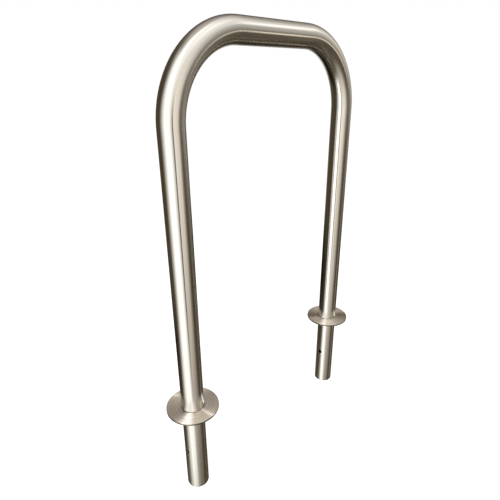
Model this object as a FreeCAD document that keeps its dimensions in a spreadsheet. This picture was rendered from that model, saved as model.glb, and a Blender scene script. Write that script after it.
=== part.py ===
"""Hoop bike rack: one bent stainless tube, two cover plates and the welds under them.

The hoop stands in the XZ plane. X runs from leg to leg, Y from front to back and Z up.
The origin is midway between the legs, at the level of their lower ends. The ground line
is the underside of the cover plates. All sizes are in millimetres.
"""
import FreeCAD, Part
import math
import os

import Sketcher

os.makedirs("parts", exist_ok=True)
doc = FreeCAD.newDocument("hoop_bike_rack")

# Driving dimensions. Each one is set by itself.
SIZES = [
    ("tube_diameter", 48.3),        # outside of the tube
    ("tube_wall", 2.6),
    ("leg_spacing", 500.0),         # centre to centre
    ("hoop_rise", 750.0),           # ground line to the top of the rail
    ("bend_radius", 152.0),         # to the centre of the tube
    ("root_depth", 215.0),          # leg below the ground line, cast into the footing
    ("end_bevel", 0.5),             # the deburred edge of each cut end
    ("anchor_hole_diameter", 13.0),
    ("anchor_hole_depth", 112.0),   # ground line to the middle of the cross hole
    ("plate_diameter", 112.0),
    ("plate_thickness", 4.0),
    ("plate_bevel", 1.0),           # the eased upper edge of the plate
    ("plate_bore_gap", 0.4),        # radial, between the plate and the tube
    ("weld_depth", 3.0),            # how far the weld groove goes up into the plate
    ("weld_flare", 3.0),            # how much wider the groove is at the underside
    ("weld_fit", 0.05),             # radial, on both sides of the bead
]

# Sizes that follow from the driving ones.
DERIVED = [
    ("leg_offset", "=leg_spacing / 2"),
    ("tube_radius", "=tube_diameter / 2"),
    ("bore_radius", "=tube_radius - tube_wall"),
    ("plate_bore_radius", "=tube_radius + plate_bore_gap"),
    ("plate_radius", "=plate_diameter / 2"),
    ("rail_level", "=root_depth + hoop_rise - tube_radius"),
    ("bend_level", "=rail_level - bend_radius"),
    ("bend_offset", "=leg_offset - bend_radius"),
    ("anchor_hole_level", "=root_depth - anchor_hole_depth"),
    ("plate_bevel_level", "=plate_thickness - plate_bevel"),
    ("plate_bevel_radius", "=plate_radius - plate_bevel"),
    ("groove_radius", "=plate_bore_radius + weld_flare"),
    ("weld_inner_radius", "=tube_radius + weld_fit"),
    ("weld_top_radius", "=plate_bore_radius - weld_fit"),
    ("weld_foot_radius", "=groove_radius - weld_fit"),
]

sheet = doc.addObject("Spreadsheet::Sheet", "sizes")
for row, (name, value) in enumerate(SIZES + DERIVED, start=1):
    sheet.set("A%d" % row, name)
    sheet.set("B%d" % row, str(value))
    sheet.setAlias("B%d" % row, name)
doc.recompute()


def size(name):
    return float(sheet.get(name))


def new_body(name):
    body = doc.addObject("PartDesign::Body", name)
    body.Label = name
    return body


def new_sketch(body, name, role):
    """A sketch on one of the body's own origin planes."""
    plane = next(f for f in body.Origin.OriginFeatures if f.Role == role)
    sketch = body.newObject("Sketcher::SketchObject", name)
    sketch.AttachmentSupport = [(plane, "")]
    sketch.MapMode = "FlatFace"
    return sketch


def pin_to_size(sketch, kind, *where, value):
    """Add one dimension to the sketch and tie it to a named size."""
    index = sketch.addConstraint(Sketcher.Constraint(kind, *where, size(value)))
    sketch.setExpression("Constraints[%d]" % index, "sizes.%s" % value)


class At:
    """Which point of a sketch line, arc or circle a constraint takes hold of."""
    START = 1
    END = 2
    CENTRE = 3


# The sketch's own axes and origin, which constraints know by these numbers.
X_AXIS = -1
Y_AXIS = -2
ORIGIN = (X_AXIS, At.START)


def point(x, y):
    return FreeCAD.Vector(x, y, 0)


def sketch_hoop_path(body):
    """The centre line of the tube: leg, bend, top rail, bend, leg."""
    side = size("leg_offset")
    turn = size("bend_offset")
    low = size("bend_level")
    top = size("rail_level")
    bend = size("bend_radius")
    path = new_sketch(body, "hoop_path", "XZ_Plane")
    left_leg = path.addGeometry(Part.LineSegment(point(-side, 0), point(-side, low)))
    left_bend = path.addGeometry(Part.ArcOfCircle(
        Part.Circle(point(-turn, low), FreeCAD.Vector(0, 0, 1), bend), math.pi / 2, math.pi))
    rail = path.addGeometry(Part.LineSegment(point(-turn, top), point(turn, top)))
    right_bend = path.addGeometry(Part.ArcOfCircle(
        Part.Circle(point(turn, low), FreeCAD.Vector(0, 0, 1), bend), 0, math.pi / 2))
    right_leg = path.addGeometry(Part.LineSegment(point(side, low), point(side, 0)))
    path.addConstraint(Sketcher.Constraint("Vertical", left_leg))
    path.addConstraint(Sketcher.Constraint("Vertical", right_leg))
    path.addConstraint(Sketcher.Constraint("Horizontal", rail))
    path.addConstraint(Sketcher.Constraint("Tangent", left_leg, At.END, left_bend, At.END))
    path.addConstraint(Sketcher.Constraint("Tangent", left_bend, At.START, rail, At.START))
    path.addConstraint(Sketcher.Constraint("Tangent", rail, At.END, right_bend, At.END))
    path.addConstraint(Sketcher.Constraint("Tangent", right_bend, At.START, right_leg, At.START))
    path.addConstraint(Sketcher.Constraint("PointOnObject", left_leg, At.START, X_AXIS))
    path.addConstraint(Sketcher.Constraint("Symmetric", left_leg, At.START, right_leg, At.END, Y_AXIS))
    pin_to_size(path, "Radius", left_bend, value="bend_radius")
    pin_to_size(path, "Radius", right_bend, value="bend_radius")
    pin_to_size(path, "DistanceX", left_leg, At.START, right_leg, At.END, value="leg_spacing")
    pin_to_size(path, "DistanceY", *ORIGIN, rail, At.START, value="rail_level")
    return path


def sketch_ring(body, name, outer, inner):
    """Two circles about the left leg, seen from above: the tube's section."""
    ring = new_sketch(body, name, "XY_Plane")
    for radius in (outer, inner):
        circle = ring.addGeometry(Part.Circle(
            point(-size("leg_offset"), 0), FreeCAD.Vector(0, 0, 1), size(radius)))
        ring.addConstraint(Sketcher.Constraint("PointOnObject", circle, At.CENTRE, X_AXIS))
        pin_to_size(ring, "DistanceX", circle, At.CENTRE, *ORIGIN, value="leg_offset")
        pin_to_size(ring, "Radius", circle, value=radius)
    return ring


def cut_ends(body):
    """Take the burr off both edges of each cut end."""
    pipe = body.Tip
    edges = []
    for number, edge in enumerate(pipe.Shape.Edges, start=1):
        if edge.BoundBox.ZMax < size("end_bevel"):
            edges.append("Edge%d" % number)
    bevel = body.newObject("PartDesign::Chamfer", "deburred_ends")
    bevel.Base = (pipe, edges)
    bevel.setExpression("Size", "sizes.end_bevel")
    return bevel


def build_hoop_tube():
    body = new_body("hoop_tube")
    path = sketch_hoop_path(body)
    section = sketch_ring(body, "tube_section", "tube_radius", "bore_radius")
    doc.recompute()
    pipe = body.newObject("PartDesign::AdditivePipe", "bent_tube")
    pipe.Profile = section
    pipe.Spine = (path, ["Edge1", "Edge2", "Edge3", "Edge4", "Edge5"])
    pipe.Mode = "Frenet"
    doc.recompute()
    cut_ends(body)
    doc.recompute()

    hole = new_sketch(body, "anchor_hole", "YZ_Plane")
    circle = hole.addGeometry(Part.Circle(
        point(0, size("anchor_hole_level")), FreeCAD.Vector(0, 0, 1),
        size("anchor_hole_diameter") / 2))
    hole.addConstraint(Sketcher.Constraint("PointOnObject", circle, At.CENTRE, Y_AXIS))
    pin_to_size(hole, "DistanceY", *ORIGIN, circle, At.CENTRE, value="anchor_hole_level")
    pin_to_size(hole, "Diameter", circle, value="anchor_hole_diameter")
    before = body.Tip.Shape.Volume
    drilled = body.newObject("PartDesign::Pocket", "anchor_holes")
    drilled.Profile = hole
    drilled.Type = "ThroughAll"
    drilled.Midplane = True
    doc.recompute()
    print("hoop_tube: the two cross holes remove %.0f mm3" % (before - drilled.Shape.Volume))
    return body


def turn_outline(body, name, outline):
    """Turn a closed outline about the body's Z axis.

    The outline is a list of corners, each a radius and a height above the ground line by
    name. A height of None lies on the ground line.
    """
    sketch = new_sketch(body, name + "_outline", "XZ_Plane")
    corners = [point(size(r), size(z) if z else 0) for r, z in outline]
    following = corners[1:] + corners[:1]
    lines = [sketch.addGeometry(Part.LineSegment(a, b)) for a, b in zip(corners, following)]
    for line, next_line in zip(lines, lines[1:] + lines[:1]):
        sketch.addConstraint(Sketcher.Constraint(
            "Coincident", line, At.END, next_line, At.START))
    for line, (radius, height) in zip(lines, outline):
        corner = (line, At.START)
        pin_to_size(sketch, "DistanceX", *ORIGIN, *corner, value=radius)
        if height is None:
            sketch.addConstraint(Sketcher.Constraint("PointOnObject", *corner, X_AXIS))
        else:
            pin_to_size(sketch, "DistanceY", *ORIGIN, *corner, value=height)
    turned = body.newObject("PartDesign::Revolution", name)
    turned.Profile = sketch
    axis = next(f for f in body.Origin.OriginFeatures if f.Role == "Z_Axis")
    turned.ReferenceAxis = (axis, [""])
    turned.Angle = 360


def seat_on_leg(body, side):
    """Put a turned piece on the ground line of one leg: side is -1 at the left, 1 at the right."""
    body.setExpression("Placement.Base.x", "%d * sizes.leg_offset" % side)
    body.setExpression("Placement.Base.z", "sizes.root_depth")


def build_cover_plate(name, side):
    """A flat round disc: its upper rim is bevelled, and its bore flares below for the weld."""
    body = new_body(name)
    turn_outline(body, name + "_disc", [
        ("groove_radius", None),
        ("plate_radius", None),
        ("plate_radius", "plate_bevel_level"),
        ("plate_bevel_radius", "plate_thickness"),
        ("plate_bore_radius", "plate_thickness"),
        ("plate_bore_radius", "weld_depth"),
    ])
    seat_on_leg(body, side)
    return body


def build_weld(name, side):
    """The bead that joins plate to tube. It fills the groove, flush with the underside."""
    body = new_body(name)
    turn_outline(body, name + "_bead", [
        ("weld_inner_radius", None),
        ("weld_foot_radius", None),
        ("weld_top_radius", "weld_depth"),
        ("weld_inner_radius", "weld_depth"),
    ])
    seat_on_leg(body, side)
    return body


pieces = [build_hoop_tube()]
for side_name, side in (("left", -1), ("right", 1)):
    pieces.append(build_cover_plate("cover_plate_" + side_name, side))
    pieces.append(build_weld("weld_" + side_name, side))
doc.recompute()

for item in doc.Objects:
    if "Invalid" in item.State or "Error" in item.State:
        raise RuntimeError("%s did not compute: %s" % (item.Name, item.State))
for piece in pieces:
    shape = piece.Shape
    if shape.isNull() or not shape.isValid():
        raise RuntimeError("%s has no valid shape" % piece.Label)

for piece in pieces:
    piece.Shape.exportStep("parts/%s.step" % piece.Label)
    box = piece.Shape.optimalBoundingBox(True, False)
    print("%-18s solids %d volume %10.0f mm3 x %.1f..%.1f y %.1f..%.1f z %.1f..%.1f" % (
        piece.Label, len(piece.Shape.Solids), piece.Shape.Volume,
        box.XMin, box.XMax, box.YMin, box.YMax, box.ZMin, box.ZMax))
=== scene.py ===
# %% [markdown]
# # A hoop bike rack in satin stainless steel
# The rack is one tube bent into a hoop. Each leg carries a round cover plate where it goes
# into the ground, and a weld under the plate joins the two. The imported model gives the
# sizes and places of all five pieces, in metres. X runs from leg to leg, Y to the back and
# Z up, with the lower ends of the legs at height 0.
#
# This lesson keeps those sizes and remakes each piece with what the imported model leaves
# out: rounded edges, an even skin for clean reflections, ripples in the welds, and the
# grain that polishing leaves in the metal.

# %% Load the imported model
import math
import bmesh
import bpy
from mathutils import Matrix, Vector


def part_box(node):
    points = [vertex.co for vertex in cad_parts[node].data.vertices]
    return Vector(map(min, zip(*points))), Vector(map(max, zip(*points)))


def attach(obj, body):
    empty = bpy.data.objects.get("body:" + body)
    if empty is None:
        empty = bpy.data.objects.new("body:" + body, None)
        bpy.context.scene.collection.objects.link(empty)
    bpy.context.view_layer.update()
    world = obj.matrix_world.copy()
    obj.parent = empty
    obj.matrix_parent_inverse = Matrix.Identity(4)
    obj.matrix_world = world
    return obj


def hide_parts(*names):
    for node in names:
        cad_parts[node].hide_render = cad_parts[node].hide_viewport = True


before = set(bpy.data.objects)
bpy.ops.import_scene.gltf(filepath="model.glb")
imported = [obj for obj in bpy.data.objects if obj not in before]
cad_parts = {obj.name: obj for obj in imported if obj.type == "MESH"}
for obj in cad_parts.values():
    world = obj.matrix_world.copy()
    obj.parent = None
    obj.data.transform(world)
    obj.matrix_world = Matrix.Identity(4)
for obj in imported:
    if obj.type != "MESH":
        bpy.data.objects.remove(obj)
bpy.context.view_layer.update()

# %% [markdown]
# ## Sizes
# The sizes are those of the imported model, written out in millimetres and turned into
# Blender's metres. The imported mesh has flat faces, so its box can be a hair smaller than
# the true round shape. Printing both side by side shows that they agree.

# %% Sizes of the tube
MM = 0.001
TUBE_RADIUS = 48.3 / 2 * MM
TUBE_WALL = 2.6 * MM
BORE_RADIUS = TUBE_RADIUS - TUBE_WALL
LEG_X = 500 / 2 * MM
BEND_RADIUS = 152 * MM
HOOP_TOP_Z = 965 * MM
RAIL_Z = HOOP_TOP_Z - TUBE_RADIUS
BEND_Z = RAIL_Z - BEND_RADIUS
BEND_X = LEG_X - BEND_RADIUS
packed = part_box("hoop_tube")[1]
print("hoop reaches x %.2f z %.2f mm, packed x %.2f z %.2f mm" % (
    (LEG_X + TUBE_RADIUS) / MM, HOOP_TOP_Z / MM, packed.x / MM, packed.z / MM))

# %% Sizes of the cross holes
GROUND_Z = 215 * MM                 # underside of the plates
HOLE_RADIUS = 13 / 2 * MM
HOLE_DEPTH = 112 * MM               # below the plates
HOLE_Z = GROUND_Z - HOLE_DEPTH
print("cross holes at z %.0f mm" % (HOLE_Z / MM))

# %% [markdown]
# ## The path of the tube
# A tube like this is polished while it is straight and bent afterwards, so its grain
# follows the bends. Each vertex therefore keeps two things: how far along the tube it is,
# and where it was on the straight tube. The first goes into a UV map, which tells the
# metal which way its grain lies. The second is an attribute for the grain's pattern, and
# has no seam, because it goes all the way round.

# %% Where a point lies along the tube
BEND_LENGTH = BEND_RADIUS * math.pi / 2
RAIL_LENGTH = 2 * BEND_X


def on_straight_tube(point):
    """Undo the bends: the point's place on the straight tube, which runs up Z from 0."""
    side = 1 if point.x > 0 else -1
    out = abs(point.x)
    if point.z < BEND_Z:
        length, off_axis = point.z, out - LEG_X
    elif out < BEND_X:
        length, off_axis = BEND_Z + BEND_LENGTH + BEND_X - out, point.z - RAIL_Z
    else:
        turn = math.atan2(point.z - BEND_Z, out - BEND_X)
        length = BEND_Z + turn * BEND_RADIUS
        off_axis = math.hypot(point.z - BEND_Z, out - BEND_X) - BEND_RADIUS
    if side > 0:
        length = 2 * (BEND_Z + BEND_LENGTH) + RAIL_LENGTH - length
    return Vector((off_axis, point.y, length))


total_length = on_straight_tube(Vector((LEG_X, 0, 0))).z
print("the straight tube is %.0f mm long" % (total_length / MM))

# %% [markdown]
# ## One skin of the tube
# The tube could be a curve with a round bevel, but then it has no wall and no holes. Here
# a ring of edges is carried along the path instead, as the bending machine carries the
# tube: extruded up the leg, spun round the bend, extruded along the rail, and so on. The
# outer skin and the bore are made the same way, with two radii.
#
# The rows of faces are closer together where the cross hole comes, so that the hole can be
# set into a square window of small faces. One more ring stands close to each cut end. Without
# it the smooth shading would spread the rounding of the cut edge far up the leg.

# %% Skins of the tube
RING_SEGMENTS = 96
BEND_STEPS = 36
RAIL_STEPS = 6
STEPS_ABOVE_HOLE = 12
WINDOW_COLUMNS = 12                 # columns and rows of faces taken out for a hole
WINDOW_TURN = math.pi * WINDOW_COLUMNS / RING_SEGMENTS
WINDOW_HALF = TUBE_RADIUS * WINDOW_TURN
SUPPORT = 1 * MM                    # how close a supporting ring stands to an edge


def carry(bm, edges, step):
    """Extrude the ring of edges by one step and return the new ring."""
    made = bmesh.ops.extrude_edge_only(bm, edges=edges)["geom"]
    moved = [g for g in made if isinstance(g, bmesh.types.BMVert)]
    bmesh.ops.translate(bm, verts=moved, vec=step)
    return [g for g in made if isinstance(g, bmesh.types.BMEdge)]


def turn_bend(bm, edges, centre_x):
    """Spin the ring of edges through a quarter turn about the centre of a bend."""
    made = bmesh.ops.spin(
        bm, geom=edges, cent=(centre_x, 0, BEND_Z), axis=(0, 1, 0),
        angle=math.pi / 2, steps=BEND_STEPS)["geom_last"]
    return [g for g in made if isinstance(g, bmesh.types.BMEdge)]


def leg_heights():
    """The heights of the rings on a leg, from its lower end to the bend."""
    low, high = HOLE_Z - WINDOW_HALF, HOLE_Z + WINDOW_HALF
    rows = [low + (high - low) * i / WINDOW_COLUMNS for i in range(WINDOW_COLUMNS + 1)]
    step = (BEND_Z - high) / STEPS_ABOVE_HOLE
    above = [high + step * i for i in range(1, STEPS_ABOVE_HOLE + 1)]
    return [0.0, SUPPORT, low / 2] + rows + above


def tube_skin(bm, radius):
    """Add one skin from the left leg's end, over the top and down to the right one's."""
    made = bmesh.ops.create_circle(
        bm, segments=RING_SEGMENTS, radius=radius, matrix=Matrix.Translation((-LEG_X, 0, 0)))
    ring = list({edge for vert in made["verts"] for edge in vert.link_edges})
    heights = leg_heights()
    for low, high in zip(heights, heights[1:]):
        ring = carry(bm, ring, (0, 0, high - low))
    ring = turn_bend(bm, ring, -BEND_X)
    for _ in range(RAIL_STEPS):
        ring = carry(bm, ring, (RAIL_LENGTH / RAIL_STEPS, 0, 0))
    ring = turn_bend(bm, ring, BEND_X)
    for high, low in zip(heights[::-1], heights[-2::-1]):
        ring = carry(bm, ring, (0, 0, low - high))


tube = bmesh.new()
tube_skin(tube, TUBE_RADIUS)
tube_skin(tube, BORE_RADIUS)
print("both skins have", len(tube.faces), "faces")

# %% [markdown]
# ## The cross holes
# A steel bar goes through a drilled hole in each leg and keys it into the concrete. A
# Boolean would cut such holes in one go, but it leaves long thin faces that spoil a
# reflection. Here each hole is made in steps: take out a square window, put a circle in its
# middle, bridge the two, and join the outer circle to the inner one for the wall that the
# drill leaves. The outer rim is countersunk a little, which takes off the burr and leaves a
# thin bright crescent to see.

# %% Functions for drilling
def window_faces(bm, side, facing, radius):
    """The faces of one skin inside the square window round a hole."""
    found = []
    for face in bm.faces:
        middle = face.calc_center_median()
        x = (middle.x - side * LEG_X) * facing
        y = middle.y
        on_skin = abs(math.hypot(x, y) - radius) < TUBE_WALL / 4
        if (on_skin and abs(math.atan2(y, x)) < WINDOW_TURN
                and abs(middle.z - HOLE_Z) < WINDOW_HALF):
            found.append(face)
    return found


def snap_to_skin(verts, side, radius):
    """Move each vertex straight out or in from the leg's axis until it is on the skin."""
    for vert in verts:
        out = Vector((vert.co.x - side * LEG_X, vert.co.y))
        out = out.normalized() * radius
        vert.co.x, vert.co.y = side * LEG_X + out.x, out.y


def drill(bm, side, facing, radius):
    """Cut one round hole in one skin and return the edges of its rim."""
    window = window_faces(bm, side, facing, radius)
    inside = set(window)
    border = [e for f in window for e in f.edges if not all(n in inside for n in e.link_faces)]
    bmesh.ops.delete(bm, geom=window, context="FACES")
    place = (Matrix.Translation((side * LEG_X + facing * radius, 0, HOLE_Z))
             @ Matrix.Rotation(math.pi / 2, 4, "Y"))
    made = bmesh.ops.create_circle(bm, segments=len(border), radius=HOLE_RADIUS, matrix=place)
    rim_verts = made["verts"]
    for vert in rim_verts:
        vert.co.x = side * LEG_X + facing * math.sqrt(radius ** 2 - vert.co.y ** 2)
    rim = list({edge for vert in rim_verts for edge in vert.link_edges})
    bmesh.ops.bridge_loops(bm, edges=border + rim)
    spokes = [e for v in rim_verts for e in v.link_edges if e not in rim]
    cut = bmesh.ops.subdivide_edges(bm, edges=spokes, cuts=2, use_grid_fill=True)
    snap_to_skin([g for g in cut["geom_inner"] if isinstance(g, bmesh.types.BMVert)],
                 side, radius)
    return rim


print("a skin can be drilled")

# %% Drill the holes
HOLE_EASE = 0.6 * MM                # depth of the countersink


def ease_edges(bm, edges, size, segments):
    """Round edges off by a size, as a file or a deburring wheel does."""
    bmesh.ops.bevel(bm, geom=edges, offset=size, offset_type="OFFSET", segments=segments,
                    profile=0.5, affect="EDGES", material=-1)


for side in (-1, 1):
    for facing in (-1, 1):
        outer_rim = drill(tube, side, facing, TUBE_RADIUS)
        inner_rim = drill(tube, side, facing, BORE_RADIUS)
        bmesh.ops.bridge_loops(tube, edges=outer_rim + inner_rim)
        ease_edges(tube, outer_rim, HOLE_EASE, segments=2)
print("four holes drilled,", len(tube.faces), "faces now")

# %% [markdown]
# ## The cut ends
# The saw leaves a square end, and the workshop takes the burr off both edges. The end
# rings of the two skins are bridged into a flat face, and its edges get a small round
# bevel. A real edge is never quite sharp, and the bevel is what catches the light.

# %% Close and deburr the ends
END_EASE = 0.5 * MM
NEAR = 0.01 * MM                    # closer than this counts as the same place
MERGE = 0.001 * MM                  # vertices closer than this become one


def edges_at_end(bm, side):
    """The edges that lie in the cut end of one leg."""
    return [e for e in bm.edges
            if all(abs(v.co.z) < NEAR and v.co.x * side > 0 for v in e.verts)]


for side in (-1, 1):
    bmesh.ops.bridge_loops(tube, edges=edges_at_end(tube, side))
    end_edges = [e for e in edges_at_end(tube, side)
                 if any(abs(f.normal.z) < 0.5 for f in e.link_faces)]
    ease_edges(tube, end_edges, END_EASE, segments=3)
bmesh.ops.remove_doubles(tube, verts=tube.verts, dist=MERGE)
bmesh.ops.recalc_face_normals(tube, faces=tube.faces)
open_edges = [e for e in tube.edges if len(e.link_faces) != 2]
print("open edges left in the tube:", len(open_edges))

# %% [markdown]
# The straight place of every vertex goes into the attribute `straight`, and the UV map
# `grain` has its first axis along the tube. A face on the seam would wrap backwards, so
# each corner's turn is measured from the middle of its own face.

# %% Store the grain's directions
def turn_near(turn, reference):
    """The same turn, in radians, written within half a turn of the reference."""
    return (turn - reference + math.pi) % (2 * math.pi) - math.pi + reference


straight = tube.verts.layers.float_vector.new("straight")
for vert in tube.verts:
    vert[straight] = on_straight_tube(vert.co)
grain_uv = tube.loops.layers.uv.new("grain")
for face in tube.faces:
    middle = sum((v[straight] for v in face.verts), Vector()) / len(face.verts)
    middle_turn = math.atan2(middle.y, middle.x)
    for loop in face.loops:
        place = loop.vert[straight]
        turn = turn_near(math.atan2(place.y, place.x), middle_turn)
        loop[grain_uv].uv = (place.z, turn * TUBE_RADIUS)
print("grain stored on", len(tube.faces), "faces")

# %% [markdown]
# The bmesh becomes an object at the origin, because its vertices already stand where the
# hoop is. Smooth shading makes its faces look round, and the edges of the cuts stay crisp.
# The hoop then rides on the model's only body and stands for the imported hoop.

# %% Make the hoop an object
def make_object(name, bm, sharp_angle=35):
    """A new object at the origin from a bmesh. Edges sharper than the angle stay crisp."""
    mesh = bpy.data.meshes.new(name)
    bm.to_mesh(mesh)
    bm.free()
    mesh.shade_smooth()
    mesh.set_sharp_from_angle(angle=math.radians(sharp_angle))
    piece = bpy.data.objects.new(name, mesh)
    bpy.context.scene.collection.objects.link(piece)
    return piece


hoop = make_object("hoop", tube)
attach(hoop, "root")
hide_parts("hoop_tube")
print("hoop has", len(hoop.data.polygons), "faces")

# %% [markdown]
# ## The cover plates
# A cover plate hides the edge of the hole in the ground. It is cut from sheet, faced in a
# lathe and eased along its upper rim. Its section is a short outline of points, and the
# lathe is a full spin about the leg's axis. The underside has a groove round the bore,
# which the weld fills. The outline has a supporting point beside each corner that is eased,
# so that the flat faces stay flat to the eye right up to their edges.
#
# The lathe leaves a grain of fine circles. The UV map `grain` has its first axis straight
# out from the centre, across those circles, and the attribute `turned` holds the direction
# from the centre beside the radius, so that the pattern closes on itself.

# %% Sizes of the plates
PLATE_RADIUS = 112 / 2 * MM
PLATE_THICKNESS = 4 * MM
PLATE_TOP_Z = GROUND_Z + PLATE_THICKNESS
PLATE_BORE_GAP = 0.4 * MM
PLATE_BORE_RADIUS = TUBE_RADIUS + PLATE_BORE_GAP
GROOVE_DEPTH = 3 * MM
GROOVE_FLARE = 3 * MM               # how far the groove widens the bore
GROOVE_RADIUS = PLATE_BORE_RADIUS + GROOVE_FLARE
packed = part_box("cover_plate_right")[1]
print("plate reaches x %.2f z %.2f mm, packed x %.2f z %.2f mm" % (
    (LEG_X + PLATE_RADIUS) / MM, PLATE_TOP_Z / MM, packed.x / MM, packed.z / MM))

# %% Spin an outline
def spin_outline(outline, centre_x, steps):
    """Turn a closed outline of (radius, height) corners about a leg's axis."""
    bm = bmesh.new()
    corners = [bm.verts.new((centre_x + radius, 0, height)) for radius, height in outline]
    edges = [bm.edges.new(pair) for pair in zip(corners, corners[1:] + corners[:1])]
    bmesh.ops.spin(bm, geom=edges, cent=(centre_x, 0, 0), axis=(0, 0, 1),
                   angle=2 * math.pi, steps=steps, use_merge=True)
    bmesh.ops.remove_doubles(bm, verts=bm.verts, dist=MERGE)
    bmesh.ops.recalc_face_normals(bm, faces=bm.faces)
    return bm


def ring_edges(bm, centre_x, radius, height):
    """The circle of edges at one corner of the spun outline."""
    def on_circle(point):
        reach = math.hypot(point.x - centre_x, point.y)
        return abs(reach - radius) < NEAR and abs(point.z - height) < NEAR
    return [e for e in bm.edges if all(on_circle(v.co) for v in e.verts)]


print("outlines can be spun about a leg")

# %% Store the turned grain
def store_turned_grain(bm, centre_x):
    """Write the UV map `grain` and the attribute `turned` of a piece made in a lathe."""
    turned = bm.verts.layers.float_vector.new("turned")
    for vert in bm.verts:
        out = Vector((vert.co.x - centre_x, vert.co.y))
        radius = out.length
        out.normalize()
        vert[turned] = (out.x, out.y, radius + vert.co.z)
    uv = bm.loops.layers.uv.new("grain")
    for face in bm.faces:
        middle = face.calc_center_median()
        middle_turn = math.atan2(middle.y, middle.x - centre_x)
        for loop in face.loops:
            spot = loop.vert.co
            turn = turn_near(math.atan2(spot.y, spot.x - centre_x), middle_turn)
            reach = math.hypot(spot.x - centre_x, spot.y)
            loop[uv].uv = (reach - spot.z, turn * PLATE_RADIUS)


print("the lathe's grain can be stored")

# %% Make the plates
PLATE_STEPS = 128
RIM_EASE = 0.5 * MM                 # upper edge of the rim
BURR_EASE = 0.3 * MM                # lower edge of the rim, and the bore


def cover_plate(name, side):
    """One plate with its eased edges, and its grain stored."""
    centre_x = side * LEG_X
    bm = spin_outline([
        (GROOVE_RADIUS, GROUND_Z),
        (PLATE_RADIUS - SUPPORT, GROUND_Z),
        (PLATE_RADIUS, GROUND_Z),
        (PLATE_RADIUS, GROUND_Z + SUPPORT),
        (PLATE_RADIUS, PLATE_TOP_Z - SUPPORT),
        (PLATE_RADIUS, PLATE_TOP_Z),
        (PLATE_RADIUS - SUPPORT, PLATE_TOP_Z),
        (PLATE_BORE_RADIUS + SUPPORT, PLATE_TOP_Z),
        (PLATE_BORE_RADIUS, PLATE_TOP_Z),
        (PLATE_BORE_RADIUS, GROUND_Z + GROOVE_DEPTH),
    ], centre_x, PLATE_STEPS)
    for radius, height, ease in ((PLATE_RADIUS, PLATE_TOP_Z, RIM_EASE),
                                 (PLATE_RADIUS, GROUND_Z, BURR_EASE),
                                 (PLATE_BORE_RADIUS, PLATE_TOP_Z, BURR_EASE)):
        ease_edges(bm, ring_edges(bm, centre_x, radius, height), ease, segments=4)
    store_turned_grain(bm, centre_x)
    return make_object(name, bm)


for name, side in (("left", -1), ("right", 1)):
    plate = cover_plate("plate_" + name, side)
    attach(plate, "root")
    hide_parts("cover_plate_" + name)
    print(plate.name, "has", len(plate.data.polygons), "faces")

# %% [markdown]
# ## The welds
# One bead of weld runs round the leg under each plate. The pool of melted steel freezes in
# steps, which leaves a row of fine crescents, and the bead sits a little hollow in its groove.
# The bead is spun from its section in small steps. Then the vertices of its face move up
# by more and less along the ring, as the ripples do.

# %% Lay the weld beads
RIPPLES = 40
BEAD_STEPS = RIPPLES * 8
BEAD_COLUMNS = 6
RIPPLE_HEIGHT = 0.18 * MM
RIPPLE_FOOT = 0.3                   # what the hollows keep, as a share of that height
RIPPLE_BOW = 0.45                   # how far the middle of a crescent lags, in ripples
BEAD_FIT = 0.05 * MM                # between the bead and the tube or the groove
bead_inner = TUBE_RADIUS + BEAD_FIT
bead_outer = GROOVE_RADIUS - BEAD_FIT
bead_top_radius = PLATE_BORE_RADIUS - BEAD_FIT


def ripple(turn, across):
    """How far the face of the bead stands up into its groove at one place."""
    phase = RIPPLES * turn / (2 * math.pi) - RIPPLE_BOW * math.sin(math.pi * across)
    step = phase % 1
    return RIPPLE_HEIGHT * (RIPPLE_FOOT + (1 - math.cos(math.pi * step)) / 2)


def weld_bead(name, side):
    """One ring of weld, with ripples on the face that shows."""
    centre_x = side * LEG_X
    width = bead_outer - bead_inner
    face_points = [(bead_inner + width * i / BEAD_COLUMNS, GROUND_Z)
                   for i in range(BEAD_COLUMNS + 1)]
    bm = spin_outline(face_points + [
        (bead_top_radius, GROUND_Z + GROOVE_DEPTH),
        (bead_inner, GROUND_Z + GROOVE_DEPTH),
    ], centre_x, BEAD_STEPS)
    for vert in bm.verts:
        reach = math.hypot(vert.co.x - centre_x, vert.co.y)
        inside = bead_inner + NEAR < reach < bead_outer - NEAR
        if inside and abs(vert.co.z - GROUND_Z) < NEAR:
            turn = math.atan2(vert.co.y, vert.co.x - centre_x)
            vert.co.z += ripple(turn, (reach - bead_inner) / width)
    return make_object(name, bm, sharp_angle=50)


for name, side in (("left", -1), ("right", 1)):
    bead = weld_bead("bead_" + name, side)
    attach(bead, "root")
    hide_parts("weld_" + name)
    print(bead.name, "has", len(bead.data.polygons), "faces")

# %% [markdown]
# ## Nodes and colours
# Every material is a small tree of nodes. One function starts a material, and one adds a
# node with its settings and links, so that a material reads as a short list. Colours are
# written as the hex values that a colour picker shows, and turned to the linear values that
# Blender calculates with.

# %% Start a material and add a node
def new_material(name):
    """A new material, its node tree and its shader."""
    material = bpy.data.materials.new(name)
    material.use_nodes = True
    tree = material.node_tree
    return material, tree, tree.nodes["Principled BSDF"]


def linear(hex_colour):
    """An sRGB hex colour as the linear RGBA that Blender's sockets take."""
    channels = [int(hex_colour[i:i + 2], 16) / 255 for i in (1, 3, 5)]
    return [c / 12.92 if c <= 0.04045 else ((c + 0.055) / 1.055) ** 2.4 for c in channels] + [1]


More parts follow.
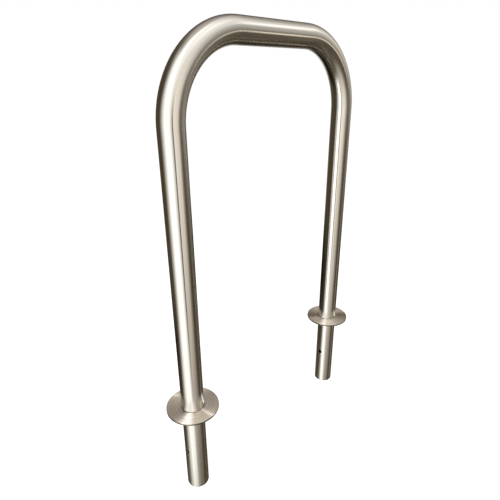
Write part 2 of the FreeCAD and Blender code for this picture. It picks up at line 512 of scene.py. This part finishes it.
def add_node(tree, kind, settings=None, **inputs):
    """Add a node with its settings and inputs.

    An input goes by its name, or by its number as in _1. It is given a plain value, or the
    output of another node to link.
    """
    node = tree.nodes.new(kind)
    for key, value in (settings or {}).items():
        setattr(node, key, value)
    for key, value in inputs.items():
        socket = node.inputs[int(key[1:]) if key[1:].isdigit() else key.replace("_", " ")]
        if isinstance(value, bpy.types.NodeSocket):
            tree.links.new(value, socket)
        else:
            socket.default_value = value
    return node


print("mid grey #808080 is %.3f in linear light" % linear("#808080")[0])

# %% [markdown]
# ## Satin stainless steel, polished round the tube
# The tube is AISI 304 stainless steel, polished with a fine belt while it turns. The belt
# leaves hair-fine scratches that run round the tube. They smear a reflection along the
# tube and hardly across it, so lights stand in long clean stripes. That smear is the
# shader's anisotropy, with the UV map's first axis as its direction.
#
# A 320 grit belt leaves scratches some 0.05 mm apart, too fine for the picture. The
# pattern is drawn at 0.6 mm instead, weakly, in the roughness. The rolls that form the tube
# from strip leave a second, fainter pattern of lines that run along it. It is drawn 1.5 mm
# wide, as two tones of the metal's colour.
#
# The walls of the drilled holes have no belt grain. They are rougher, shine evenly, and
# have the drill's marks round them, drawn 0.4 mm apart.

# %% Functions for the metals
NOISE_LOW = 0.3                     # nearly all of the noise lies between these two
NOISE_HIGH = 0.7
DRAWN_OUT = 60                      # hairs per metre along their length, 17 mm each


def scratch_pattern(tree, attribute, scale):
    """Noise drawn out into hairs: the scale is a number of hairs per unit on each axis."""
    place = add_node(tree, "ShaderNodeAttribute", {"attribute_name": attribute})
    stretched = add_node(tree, "ShaderNodeMapping", Vector=place.outputs["Vector"], Scale=scale)
    return add_node(tree, "ShaderNodeTexNoise", Vector=stretched.outputs["Vector"],
                    Scale=1.0, Detail=3.0, Roughness=0.6).outputs["Fac"]


def two_tones(tree, shader, pattern, dark, light):
    """Bare metal whose colour goes between two tones with a pattern."""
    share = add_node(tree, "ShaderNodeMapRange", Value=pattern, _1=NOISE_LOW, _2=NOISE_HIGH)
    colour = add_node(tree, "ShaderNodeMix", {"data_type": "RGBA"},
                      Factor=share.outputs["Result"], _6=linear(dark), _7=linear(light))
    tree.links.new(colour.outputs[2], shader.inputs["Base Color"])
    shader.inputs["Metallic"].default_value = 1.0


def brush(tree, shader, hairs, roughness, spread, anisotropy, bump=0, depth=0):
    """Give the metal a grain of hairs and smear its reflections across them."""
    rough = add_node(tree, "ShaderNodeMapRange", Value=hairs, _1=NOISE_LOW, _2=NOISE_HIGH,
                     _3=roughness - spread, _4=roughness + spread)
    lay = add_node(tree, "ShaderNodeTangent", {"direction_type": "UV_MAP", "uv_map": "grain"})
    shader.inputs["Anisotropic"].default_value = anisotropy
    tree.links.new(rough.outputs["Result"], shader.inputs["Roughness"])
    tree.links.new(lay.outputs["Tangent"], shader.inputs["Tangent"])
    if bump:
        relief = add_node(tree, "ShaderNodeBump", Height=hairs, Strength=bump, Distance=depth)
        tree.links.new(relief.outputs["Normal"], shader.inputs["Normal"])


print("metals can be given tones and a grain")

# %% Tube steel
HAIR = 0.6 * MM
LINE = 1.5 * MM
LINE_LENGTH = 500 * MM
tube_steel, tree, shader = new_material("stainless steel, belt polished")
hairs = scratch_pattern(tree, "straight", (DRAWN_OUT, DRAWN_OUT, 1 / HAIR))
lines = scratch_pattern(tree, "straight", (1 / LINE, 1 / LINE, 1 / LINE_LENGTH))
two_tones(tree, shader, lines, "#b9b6af", "#dad7d0")
brush(tree, shader, hairs, roughness=0.17, spread=0.02, anisotropy=0.9)
hoop.data.materials.append(tube_steel)

DRILL_MARK = 0.4 * MM
drilled, tree, shader = new_material("stainless steel, drilled wall")
marks = scratch_pattern(tree, "straight", (1 / DRILL_MARK, DRAWN_OUT, DRAWN_OUT))
two_tones(tree, shader, marks, "#cbc4b8", "#e4ddd3")
shader.inputs["Roughness"].default_value = 0.6
hoop.data.materials.append(drilled)
SKIN_SAG = 0.05 * MM                # a flat face of the skin lies up to this far inside it
for face in hoop.data.polygons:
    reach = math.hypot(abs(face.center.x) - LEG_X, face.center.y)
    in_wall = BORE_RADIUS + NEAR < reach < TUBE_RADIUS - SKIN_SAG
    if in_wall and abs(face.center.z - HOLE_Z) < WINDOW_HALF:
        face.material_index = 1
print("tube:", tube_steel.name, "and", drilled.name)

# %% [markdown]
# ## Turned stainless steel
# The plates are the same steel, faced in a lathe. Their scratches are circles about the
# leg, so each patch of the plate smears light outwards from the centre. A lamp then shows
# as a bright wedge, as it does on a pan lid. The circles also show faintly themselves, in
# two tones. A lathe leaves them some 0.2 mm apart, too fine for the picture, so they are
# drawn 2.4 mm apart.
#
# The edge of the disc is as the laser cut it, smoother and a little darker, with fine upright
# ridges. Its tones are darkened further as painted shade, which draws the dark line round
# the rim. The ridges too are drawn coarser than they are, 0.8 mm apart.

# %% Plate steel
RING = 2.4 * MM
HAIRS_ROUND = 1                     # per radian about the leg
plate_steel, tree, shader = new_material("stainless steel, turned")
hairs = scratch_pattern(tree, "turned", (HAIRS_ROUND, HAIRS_ROUND, 1 / RING))
two_tones(tree, shader, hairs, "#c3b8aa", "#e4dacd")
brush(tree, shader, hairs, roughness=0.5, spread=0.05, anisotropy=1.0, bump=0.3,
      depth=0.03 * MM)

RIDGE = 0.8 * MM
RIDGE_LENGTH = 25 * MM
LOWEST = -0.95                      # the edge's faces point no further down
HIGHEST = 0.3                       # and no further up than this
cut_edge_and_painted_shade, tree, shader = new_material("stainless steel, laser cut edge with painted shade")
ridges_round = PLATE_RADIUS / RIDGE     # per radian about the leg
ridges = scratch_pattern(tree, "turned", (ridges_round, ridges_round, 1 / RIDGE_LENGTH))
# Painted shade: these tones are darker than the cut edge itself, for the dark line round the
# rim.
two_tones(tree, shader, ridges, "#5c564d", "#746e64")
shader.inputs["Roughness"].default_value = 0.15
for name in ("plate_left", "plate_right"):
    mesh = bpy.data.objects[name].data
    mesh.materials.append(plate_steel)
    mesh.materials.append(cut_edge_and_painted_shade)
    # The edge's faces, the lower rounding among them, get the cut steel and its painted shade.
    for face in mesh.polygons:
        if LOWEST < face.normal.z < HIGHEST:
            face.material_index = 1
print("plates:", plate_steel.name, "and", cut_edge_and_painted_shade.name)

# %% [markdown]
# ## Weld metal
# The bead is filler of the same steel, left as it froze. Heat has dulled it and tinted it
# straw and grey in patches, and it has no grain.

# %% Bead steel
HEAT_PATCHES = 120                  # patches of tint per metre, some 8 mm each
bead_steel, tree, shader = new_material("stainless weld metal, as laid")
place = add_node(tree, "ShaderNodeTexCoord")
tint = add_node(tree, "ShaderNodeTexNoise", Vector=place.outputs["Object"],
                Scale=HEAT_PATCHES, Detail=2.0)
colours = add_node(tree, "ShaderNodeMix", {"data_type": "RGBA"}, Factor=tint.outputs["Fac"],
                   _6=linear("#b3a184"), _7=linear("#8f8a86"))
tree.links.new(colours.outputs[2], shader.inputs["Base Color"])
shader.inputs["Metallic"].default_value = 1.0
shader.inputs["Roughness"].default_value = 0.38
for name in ("bead_left", "bead_right"):
    bpy.data.objects[name].data.materials.append(bead_steel)
print("welds:", bead_steel.name)

# %% [markdown]
# ## The room that the metal shows
# Polished metal has hardly a look of its own: it shows the room. So a room is built round
# the rack, of cards that only the reflections see. A card is a sheet of plain light that
# fades out towards its edges, by the share given for each side.
#
# One picture of a room, wrapped round as the background, would be less work. It is
# infinitely far off, though, and would look the same from every part of the tube. In the
# photo the stripes shift from leg to leg, so the cards hang at real distances.
#
# A ray of light from the tube simply ends on a card, so a card needs no lamp's sampling,
# and that is switched off to save time.

# %% The light of a card
def reflections_only(card):
    """Hide a card from everything but reflections, and keep it out of the object."""
    card.visible_camera = False
    card.visible_diffuse = False
    card.visible_transmission = False
    card.visible_volume_scatter = False
    card.visible_shadow = False


def light_material(name, colour, strength, fades=None, one_sided=False):
    """Plain light, that of a tent or a card.

    The fades are shares of the card, left, right, bottom and top. A card that is one sided
    shines from its upper face alone.
    """
    material, tree, shader = new_material(name)
    tree.nodes.remove(shader)
    output = tree.nodes["Material Output"]
    light = add_node(tree, "ShaderNodeEmission", Color=linear(colour), Strength=strength)
    result = light.outputs[0]
    if fades:
        left, right, bottom, top = fades
        uv = add_node(tree, "ShaderNodeUVMap", {"uv_map": "card"})
        axes = add_node(tree, "ShaderNodeSeparateXYZ", Vector=uv.outputs[0])
        cover = None
        for axis, start, end in (("X", 0, left), ("X", 1, 1 - right),
                                 ("Y", 0, bottom), ("Y", 1, 1 - top)):
            if start == end:
                continue
            edge = add_node(tree, "ShaderNodeMapRange", {"interpolation_type": "SMOOTHSTEP"},
                            Value=axes.outputs[axis], _1=start, _2=end).outputs["Result"]
            cover = edge if cover is None else add_node(
                tree, "ShaderNodeMath", {"operation": "MULTIPLY"}, _0=cover, _1=edge).outputs[0]
        if one_sided:
            back = add_node(tree, "ShaderNodeNewGeometry").outputs["Backfacing"]
            front = add_node(tree, "ShaderNodeMath", {"operation": "SUBTRACT"}, _0=1.0, _1=back)
            cover = add_node(tree, "ShaderNodeMath", {"operation": "MULTIPLY"}, _0=cover,
                             _1=front.outputs[0]).outputs[0]
        clear = add_node(tree, "ShaderNodeBsdfTransparent")
        result = add_node(tree, "ShaderNodeMixShader", Fac=cover, _1=clear.outputs[0],
                          _2=light.outputs[0]).outputs[0]
    tree.links.new(result, output.inputs["Surface"])
    material.cycles.emission_sampling = "NONE"
    return material


print("cards can shine and fade")

# %% [markdown]
# ## How a card is bent
# Four small functions say how a card is bent: into part of a dome about the middle of the
# hoop, into part of a round wall, level like a floor, or as a sector lying on a plate. Each
# returns a function that takes a place on the card to its place in the room. A grid of 24
# by 24 faces then follows the bend closely enough.

# %% Functions for the bends
MIDDLE = Vector((0, 0, 0.5))
CARD_FACES = 24
LIFT = 0.2 * MM                     # of a sector of light above its plate


def on_dome(distance):
    """Bends a card into part of a sphere: across is azimuth, up is elevation, in degrees."""
    def place(azimuth, elevation):
        azimuth, elevation = math.radians(azimuth), math.radians(elevation)
        flat = math.cos(elevation)
        return MIDDLE + distance * Vector(
            (flat * math.cos(azimuth), flat * math.sin(azimuth), math.sin(elevation)))
    return place


def on_wall(distance):
    """Bends a card into part of an upright round wall: up is the height in metres."""
    def place(azimuth, height):
        azimuth = math.radians(azimuth)
        return Vector((distance * math.cos(azimuth), distance * math.sin(azimuth), height))
    return place


def on_floor(height):
    """Lays a card level: across is X and up is Y, in metres."""
    def place(x, y):
        return Vector((x, y, height))
    return place


def on_plate(side):
    """Lays a card on a cover plate: across is azimuth, up the distance from the leg's axis."""
    def place(azimuth, reach):
        azimuth = math.radians(azimuth)
        return Vector((side * LEG_X + reach * math.cos(azimuth), reach * math.sin(azimuth),
                       PLATE_TOP_Z + LIFT))
    return place


print("cards can be bent in four ways")

# %% Hang a card
def card(name, place, across, up, colour, strength, fades, one_sided=False):
    """Hang one card of light, from across[0] to across[1] and from up[0] to up[1]."""
    bm = bmesh.new()
    bmesh.ops.create_grid(bm, x_segments=CARD_FACES, y_segments=CARD_FACES, size=0.5)
    uv = bm.loops.layers.uv.new("card")
    for face in bm.faces:
        for loop in face.loops:
            loop[uv].uv = (loop.vert.co.x + 0.5, loop.vert.co.y + 0.5)
    for vert in bm.verts:
        u, v = vert.co.x + 0.5, vert.co.y + 0.5
        vert.co = place(across[0] + (across[1] - across[0]) * u, up[0] + (up[1] - up[0]) * v)
    patch = make_object(name, bm)
    patch.data.materials.append(
        light_material(name + " light", colour, strength, fades, one_sided))
    reflections_only(patch)


print("cards can be hung")

# %% [markdown]
# ## The far lights
# A dark tent closes everything in, because the edges of the tube are dark in the photo. In
# it hang a faint glow from the ground, a pale ceiling, a broad light high on the left, and a
# window on the right, which makes the sharp highlight along the rail. The window is three
# cards, one inside the other, so that its light grows softly towards the middle.

# %% Tent, ceiling and window
TENT_RADIUS = 6
bm = bmesh.new()
bmesh.ops.create_icosphere(bm, subdivisions=4, radius=TENT_RADIUS,
                           matrix=Matrix.Translation(MIDDLE))
tent = make_object("dark_tent", bm, sharp_angle=180)
tent.data.materials.append(light_material("dark tent", "#5f5546", 1.0))
reflections_only(tent)

# Name and bend, then from and to in degrees of azimuth and of elevation, then the colour,
# the strength and the fades, left, right, bottom and top.

card("low_glow", on_dome(5.7), (-80, 66), (-90, -6), "#a69573", 0.24, (0.5, 0.24, 0, 0.35))
card("ceiling", on_dome(5.6), (-180, 180), (31, 90), "#f3ece8", 0.88, (0, 0, 0.92, 0))
card("upper_light", on_dome(5.0), (-227, 49), (-13, 89), "#fffefb", 1.8, (0.23, 0.37, 0.95, 0))
card("window_glow", on_dome(4.2), (-47, 12), (-29, 50), "#fbf3e8", 1.0, (0.55, 0.31, 0.8, 0.27))
card("window", on_dome(4.0), (-45, -9), (19, 56), "#ffffff", 1.9, (0.8, 0.46, 0.77, 0.52))
card("window_core", on_dome(3.9), (-40, -14), (28, 47), "#ffffff", 2.5, (0.5, 0.5, 0.5, 0.5))
print("six far cards and the tent hung")

# %% [markdown]
# ## The near walls
# The wide white stripe up each leg is a white wall beside the camera, and the fainter
# second stripe is another, nearer and further round. A dim light behind the rack lightens
# the far edges. Dark things stand between and below these: a flag on the left, the ground
# behind the rack, and a post at the camera that puts the dark line between the two stripes.
# A sill of warm light draws the thin line along the rail, and a strip the faint line inside
# each bend. What a near card shows moves along the tube much as it does in the photo.

# %% Walls, flag and strips
# As above, but up a wall is in metres, and so is a card on the floor.
card("rear_light", on_wall(2.5), (20, 74), (-2.6, 2.2), "#efe9df", 0.7, (0.4, 0.4, 0.2, 0.3))
card("white_wall", on_wall(1.7), (-249, -109), (-2.5, 4.4), "#fffefb", 2.15,
     (0.31, 0.36, 0.16, 0.18))
card("side_wall", on_wall(1.2), (-130, -57), (-2.3, 2.2), "#f8f0e6", 1.8,
     (0.03, 0.63, 0.95, 0.35))
card("dark_ground", on_floor(0), (-1.4, 2.0), (0.04, 1.5), "#2b261b", 0.5,
     (0.15, 0.2, 0.45, 0.2))
card("dark_flag", on_wall(0.85), (196, 81), (-2.5, 3.4), "#645948", 0.75,
     (0.43, 0.32, 0.37, 0.39))
card("dark_post", on_wall(0.77), (-137.5, -127.5), (-0.3, 1.12), "#efe8de", 0.18,
     (0.3, 0.3, 0.3, 0.25))
card("sill", on_wall(0.7), (-58, -26), (0.8, 0.93), "#fff2e0", 1.6, (0.35, 0.35, 0.4, 0.3))
card("strip", on_wall(0.59), (-34, -24.6), (-2.2, 0.78), "#fff2e0", 0.55,
     (0.5, 0.5, 0.1, 0.2))
print("eight near cards hung")

# %% [markdown]
# ## Light on the plates
# Close above a plate the tube shows the plate itself. In the photo that reflection is
# nearly white in front, with a bright sliver at the right. A sector of light lying on each
# plate, seen only in reflections, is a painted reflection that does the same. It faces up
# only, so that the plate below it doesn't show it, and it starts 1.5 mm away from the tube,
# which leaves a thin line of painted shade where the two meet.
#
# The plates get three round lamps of their own: one for the broad wedge, a small one for
# the thin streak on the left plate, and a wide one that lifts the rest. The first two are a
# little bluish, like daylight, because the steel alone would turn them beige. Light linking
# keeps each lamp to the plates, as a long hood would, and leaves the stripes on the tube
# alone.

# %% Sectors on the plates
# Painted shade: the gap between the tube and its sectors darkens the foot of its reflection.
PAINTED_SHADE_LINE = 1.5 * MM
ON_TOP = (TUBE_RADIUS + PAINTED_SHADE_LINE, PLATE_RADIUS)
# Painted reflections: each sector glows on its plate, so the tube reflects it in place of the
# plate.
card("painted_reflection_foot_left", on_plate(-1), (-95, -190), ON_TOP, "#fffefb", 1.5, (0.4, 0.3, 0, 0.1), True)
card("painted_reflection_sliver_left", on_plate(-1), (-20, -45), ON_TOP, "#fffefb", 1.5, (0.4, 0.4, 0, 0.1), True)
card("painted_reflection_foot_right", on_plate(1), (-118, -200), ON_TOP, "#fffefb", 1.3, (0.4, 0.3, 0, 0.1), True)
card("painted_reflection_sliver_right", on_plate(1), (-45, -75), ON_TOP, "#fffefb", 1.3, (0.4, 0.4, 0, 0.1), True)
print("four sectors laid")

# %% Lamps for the plates
def round_lamp(name, location, aim, size, power):
    """A round lamp that points at a place."""
    data = bpy.data.lights.new(name, "AREA")
    data.shape = "DISK"
    data.size = size
    data.energy = power
    lamp = bpy.data.objects.new(name, data)
    lamp.location = location
    lamp.rotation_euler = (aim - lamp.location).to_track_quat("-Z", "Y").to_euler()
    bpy.context.scene.collection.objects.link(lamp)
    return lamp


def plate_lamp(name, location, aim, size, colour, strength, plate_names):
    """A lamp for the named plates alone, as bright as a card of the same strength."""
    area = math.pi * size ** 2 / 4
    lamp = round_lamp(name, location, aim, size, strength * math.pi * area)
    lamp.data.color = linear(colour)[:3]
    lamp.visible_camera = False
    lit = bpy.data.collections.new(name + " lights")
    for plate_name in plate_names:
        lit.objects.link(bpy.data.objects[plate_name])
    lamp.light_linking.receiver_collection = lit


LEFT = ("plate_left",)
BOTH = ("plate_left", "plate_right")
left_plate_top = Vector((-LEG_X, 0, PLATE_TOP_Z))
between_plates = Vector((0, 0, PLATE_TOP_Z))
plate_lamp("wedge_lamp", (-1.15, -0.2, 1.63), MIDDLE, 0.9, "#e9f1ff", 8.5, BOTH)
plate_lamp("streak_lamp", (0.72, -0.97, 0.83), left_plate_top, 0.12, "#f2f7ff", 157, LEFT)
plate_lamp("fill_lamp", (-0.09, 1.02, 1.45), between_plates, 1.8, "#ffffff", 1.2, BOTH)
print("three lamps hung")

# %% [markdown]
# ## Floor
# The floor is matt white paper. To the camera it also glows a little, so that it goes over
# into the white background, but it keeps the rack's soft shadow. Seen from below it is
# clear, and the welds under the plates can be looked at.

# %% Floor
FLOOR_SIZE = 12
FLOOR_GLOW = 0.72
bm = bmesh.new()
bmesh.ops.create_grid(bm, x_segments=1, y_segments=1, size=FLOOR_SIZE)
floor = make_object("floor", bm)
paper, tree, shader = new_material("white paper")
shader.inputs["Base Color"].default_value = linear("#f4f4f4")
shader.inputs["Roughness"].default_value = 0.9
shader.inputs["Specular IOR Level"].default_value = 0.0
path = add_node(tree, "ShaderNodeLightPath")
glow = add_node(tree, "ShaderNodeEmission", Color=(1, 1, 1, 1), Strength=FLOOR_GLOW)
glowing = add_node(tree, "ShaderNodeAddShader", _0=shader.outputs[0], _1=glow.outputs[0])
seen = add_node(tree, "ShaderNodeMixShader", Fac=path.outputs["Is Camera Ray"],
                _1=shader.outputs[0], _2=glowing.outputs[0])
below = add_node(tree, "ShaderNodeNewGeometry")
clear = add_node(tree, "ShaderNodeBsdfTransparent")
sheet = add_node(tree, "ShaderNodeMixShader", Fac=below.outputs["Backfacing"],
                 _1=seen.outputs[0], _2=clear.outputs[0])
tree.links.new(sheet.outputs[0], tree.nodes["Material Output"].inputs["Surface"])
floor.data.materials.append(paper)
floor.visible_glossy = False
print("floor laid,", 2 * FLOOR_SIZE, "m wide")

# %% [markdown]
# ## Background and overhead lamp
# The background is the world at strength 1, which is white to the camera, in reflections
# and through glass. To everything else it gives gentle light from all round, at about a
# third of that. One wide lamp overhead gives the floor its soft shadow, at a plain level.

# %% Background
ROOM_LIGHT = 0.35
world = bpy.data.worlds.new("studio")
bpy.context.scene.world = world
world.use_nodes = True
tree = world.node_tree
path = add_node(tree, "ShaderNodeLightPath")
seen = add_node(tree, "ShaderNodeMath", {"operation": "ADD"}, _0=path.outputs["Is Camera Ray"],
                _1=path.outputs["Is Glossy Ray"])
seen = add_node(tree, "ShaderNodeMath", {"operation": "ADD", "use_clamp": True},
                _0=seen.outputs[0], _1=path.outputs["Is Transmission Ray"])
level = add_node(tree, "ShaderNodeMapRange", Value=seen.outputs[0], _3=ROOM_LIGHT, _4=1.0)
tree.links.new(level.outputs["Result"], tree.nodes["Background"].inputs["Strength"])
tree.nodes["Background"].inputs["Color"].default_value = (1, 1, 1, 1)
print("background white, room light", ROOM_LIGHT)

# %% Overhead lamp
OVERHEAD_SIZE = 1.6
OVERHEAD_POWER = 30
overhead = round_lamp("overhead", (-0.8, -0.4, 2.6), MIDDLE, OVERHEAD_SIZE, OVERHEAD_POWER)
overhead.visible_glossy = False
print("overhead lamp of", OVERHEAD_POWER, "W hung")

# %% [markdown]
# ## Camera
# The camera stands about 0.7 m from the near leg, a little below the rail's height, and
# looks down by 22 degrees. Its place and turn came from matching the outlines of the tube,
# the plates and the leg ends with the photo. Its right and up directions are written out,
# squared up against each other and put into a matrix.

# %% Camera
bpy.context.scene.view_settings.view_transform = "Standard"
CAMERA_PLACE = (-0.66959, -0.58261, 0.86893)
camera_data = bpy.data.cameras.new("camera")
camera_data.lens = 30.354
camera_data.sensor_width = 36
camera = bpy.data.objects.new("camera", camera_data)
right_axis = Vector((0.69384, -0.72007, -0.00929)).normalized()
up_axis = Vector((0.28209, 0.25990, 0.92351)).normalized()
back_axis = right_axis.cross(up_axis).normalized()
up_axis = back_axis.cross(right_axis)
axes = Matrix((right_axis, up_axis, back_axis)).transposed()
camera.matrix_world = Matrix.Translation(CAMERA_PLACE) @ axes.to_4x4()
bpy.context.scene.collection.objects.link(camera)
bpy.context.scene.camera = camera
print("camera at", [round(c, 3) for c in camera.location])
